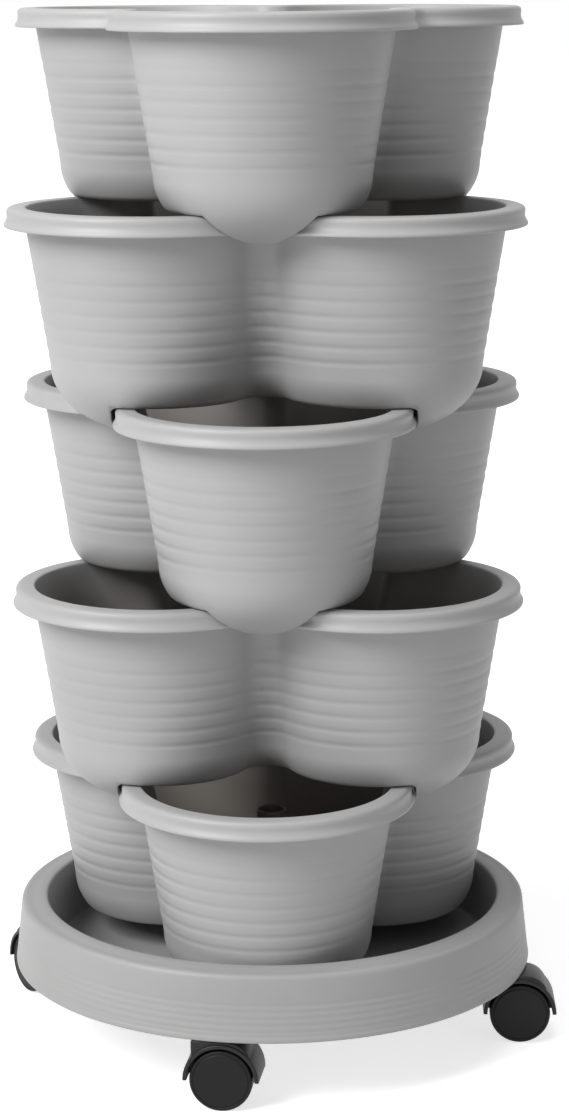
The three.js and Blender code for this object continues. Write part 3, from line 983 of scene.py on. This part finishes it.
first_axle = joint_place("caster_1_wheel_a_spin")
trail = (first_axle.xy - stem_places[0].xy).length
housing = housing_piece(trail)
wheel = wheel_piece()
for number, stem in enumerate(stem_places, 1):
    caster = f"caster_{number}"
    axle = joint_place(f"{caster}_wheel_a_spin")
    turn = math.atan2(axle.y - stem.y, axle.x - stem.x)
    standing = Matrix.Translation((stem.x, stem.y, 0)) @ Matrix.Rotation(turn, 4, "Z")
    own_housing = copied(f"{caster}_hood", housing)
    place(own_housing, standing)
    finished(own_housing, caster_plastic, caster, f"{caster}_housing")
    for letter, side in (("a", -1), ("b", 1)):
        own_wheel = copied(f"{caster}_disc_{letter}", wheel)
        outwards = Matrix.Rotation(-side * math.pi / 2, 4, "X")
        middle = side * (FORK_WIDTH / 2 + WHEEL_GAP + WHEEL_WIDTH / 2)
        place(own_wheel, standing @ Matrix.Translation((trail, middle, WHEEL_RADIUS)) @ outwards)
        node = f"{caster}_wheel_{letter}"
        finished(own_wheel, wheel_plastic, node, node)
discard(housing)
discard(wheel)

pot = pot_piece()
drain_grid = drain_grid_piece()
for tier in range(TIERS):
    pot_node = f"pot_{tier + 1}"
    grid_node = f"drain_grid_{tier + 1}"
    rim_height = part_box(pot_node)[1][2] / METRES_PER_MM
    turned = Matrix.Rotation(math.pi / LOBES * (tier % 2), 4, "Z")
    own_pot = copied(f"{pot_node}_shell", pot)
    place(own_pot, Matrix.Translation((0, 0, rim_height)) @ turned)
    finished(own_pot, pot_plastic, pot_node, pot_node)
    own_grid = copied(f"{grid_node}_plate", drain_grid)
    grid_foot = rim_height - POT_HEIGHT + WALL + REST_GAP
    place(own_grid, Matrix.Translation((0, 0, grid_foot)) @ turned)
    finished(own_grid, grid_plastic, grid_node, grid_node, GRID_SMOOTH_ANGLE)
discard(pot)
discard(drain_grid)

for name, node in frame["nodes"].items():
    if name.endswith("_stem") or name.endswith("_axle"):
        node.data.materials.clear()
        node.data.materials.append(steel)


# Studio

def background_rays(nodes, links):
    """1 where the background is seen: directly, in a reflection or through something clear."""
    rays = nodes.new("ShaderNodeLightPath")
    seen = rays.outputs["Is Camera Ray"]
    for kind in ("Is Glossy Ray", "Is Transmission Ray"):
        either = nodes.new("ShaderNodeMath")
        either.operation = "MAXIMUM"
        links.new(seen, either.inputs[0])
        links.new(rays.outputs[kind], either.inputs[1])
        seen = either.outputs["Value"]
    return seen


def white_room():
    world = bpy.data.worlds.new("studio")
    bpy.context.scene.world = world
    world.use_nodes = True
    nodes, links = world.node_tree.nodes, world.node_tree.links
    seen = nodes["Background"]
    seen.inputs["Color"].default_value = WHITE
    seen.inputs["Strength"].default_value = 1.0
    soft = nodes.new("ShaderNodeBackground")
    soft.inputs["Color"].default_value = WHITE
    soft.inputs["Strength"].default_value = ROOM_LIGHT
    mix = nodes.new("ShaderNodeMixShader")
    links.new(background_rays(nodes, links), mix.inputs["Fac"])
    links.new(soft.outputs["Background"], mix.inputs[1])
    links.new(seen.outputs["Background"], mix.inputs[2])
    links.new(mix.outputs["Shader"], nodes["World Output"].inputs["Surface"])


def pale_floor():
    bpy.ops.mesh.primitive_plane_add(size=FLOOR_SIZE, location=(0, 0, 0))
    floor = bpy.context.object
    floor.name = floor.data.name = "studio_floor"
    finish = bpy.data.materials.new("studio_white")
    finish.use_nodes = True
    nodes, links = finish.node_tree.nodes, finish.node_tree.links
    shader = nodes["Principled BSDF"]
    shader.inputs["Base Color"].default_value = (FLOOR_TONE, FLOOR_TONE, FLOOR_TONE, 1)
    shader.inputs["Roughness"].default_value = FLOOR_ROUGHNESS
    shader.inputs["Emission Color"].default_value = WHITE
    coordinates = nodes.new("ShaderNodeTexCoord")
    distance = nodes.new("ShaderNodeVectorMath")
    distance.operation = "LENGTH"
    links.new(coordinates.outputs["Object"], distance.inputs[0])
    lift = spread(nodes, links, distance.outputs["Value"], *FLOOR_GLOW)
    lift.node.inputs["From Min"].default_value = FLOOR_GLOW_DISTANCES[0]
    lift.node.inputs["From Max"].default_value = FLOOR_GLOW_DISTANCES[1]
    glow = nodes.new("ShaderNodeMath")
    glow.operation = "MULTIPLY"
    links.new(background_rays(nodes, links), glow.inputs[0])
    links.new(lift, glow.inputs[1])
    links.new(glow.outputs["Value"], shader.inputs["Emission Strength"])
    floor.data.materials.append(finish)


def soft_lamp(name, place_at, target, size, power):
    lamp = bpy.data.lights.new(name, "AREA")
    lamp.size = size
    lamp.energy = power
    stand = bpy.data.objects.new(name, lamp)
    bpy.context.collection.objects.link(stand)
    stand.location = place_at
    stand.rotation_euler = (Vector(target) - Vector(place_at)).to_track_quat("-Z", "Y").to_euler()


def photo_camera():
    camera = bpy.data.cameras.new("camera")
    camera.sensor_fit = "VERTICAL"
    camera.sensor_height = SENSOR_HEIGHT
    camera.lens = SENSOR_HEIGHT * FOCAL_PIXELS / PHOTO_HEIGHT_PIXELS
    camera.clip_end = CAMERA_REACH
    stand = bpy.data.objects.new("camera", camera)
    bpy.context.collection.objects.link(stand)
    heading = Matrix.Rotation(math.radians(CAMERA_HEADING), 4, "Z")
    tilt = Matrix.Rotation(math.radians(CAMERA_TILT), 4, "X")
    roll = Matrix.Rotation(math.radians(CAMERA_ROLL), 4, "Z")
    stand.matrix_world = Matrix.Translation(CAMERA_PLACE) @ heading @ tilt @ roll
    bpy.context.scene.camera = stand


white_room()
pale_floor()
soft_lamp("key_lamp", place_at=(-1.65, -1.5, 2.0), target=(0, 0, 0.42), size=1.3, power=64.0)
soft_lamp("top_lamp", place_at=(0.2, -0.5, 2.5), target=(0, 0, 0.4), size=1.0, power=13.0)
soft_lamp("fill_lamp", place_at=(1.9, -1.3, 0.9), target=(0, 0, 0.3), size=1.2, power=1.0)
photo_camera()
bpy.context.scene.view_settings.view_transform = "Standard"
